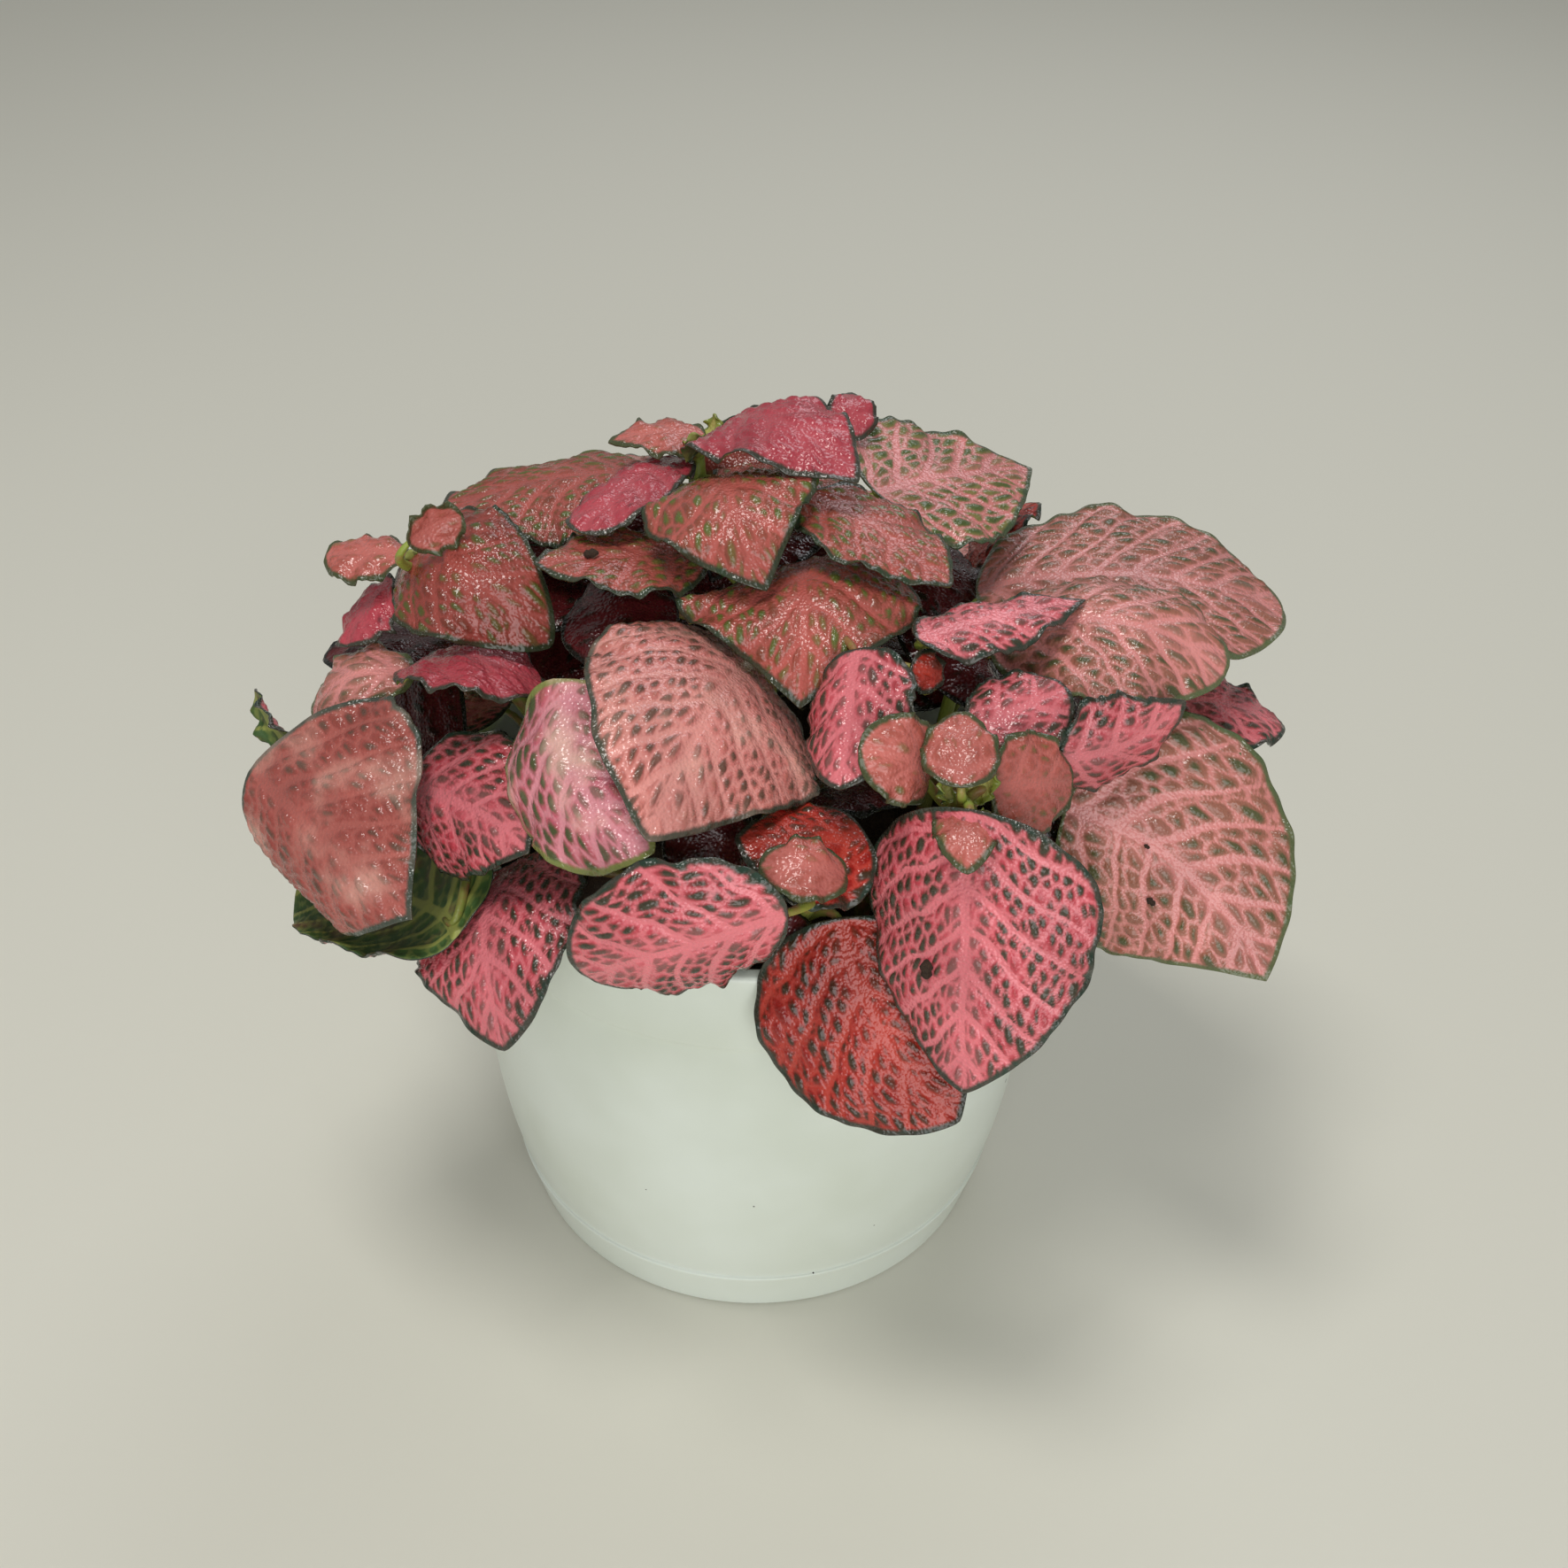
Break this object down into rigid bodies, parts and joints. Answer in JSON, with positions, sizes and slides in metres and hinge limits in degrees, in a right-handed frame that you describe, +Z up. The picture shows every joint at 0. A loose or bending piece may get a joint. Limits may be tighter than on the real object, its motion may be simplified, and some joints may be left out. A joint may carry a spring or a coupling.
{
  "type": "potted nerve plant",
  "caption": "Low domed nerve plant with red-veined, wavy-edged leaves spilling over the rim of a round plastic nursery pot.",
  "frame": {"origin": "centre of the pot's base, on the surface it stands on", "axes": "+Z up; -Y is the side where the leaves hang lowest over the rim, +X is to the right seen from that side"},
  "size_m": [0.1895, 0.1593, 0.1721],
  "materials": {
    "pot": "semi-gloss white with a faint green tint",
    "soil": "matt, loose and damp",
    "leaf": "waxy, red to coral veins on dark green"
  },
  "bodies": {
    "root": {"pot": "pot", "soil": "soil", "leafy_stem_back_left": "leaf", "leafy_stem_top": "leaf", "leafy_stem_top_right": "leaf", "leafy_stem_centre": "leaf", "leafy_stem_right": "leaf", "leafy_stem_front_right": "leaf", "leafy_stem_front_centre": "leaf", "leafy_stem_lower_left": "leaf", "leafy_stem_left": "leaf", "leafy_stem_rear_left": "leaf", "leafy_stem_rear": "leaf", "leafy_stem_rear_right": "leaf"}
  },
  "joints": []
}
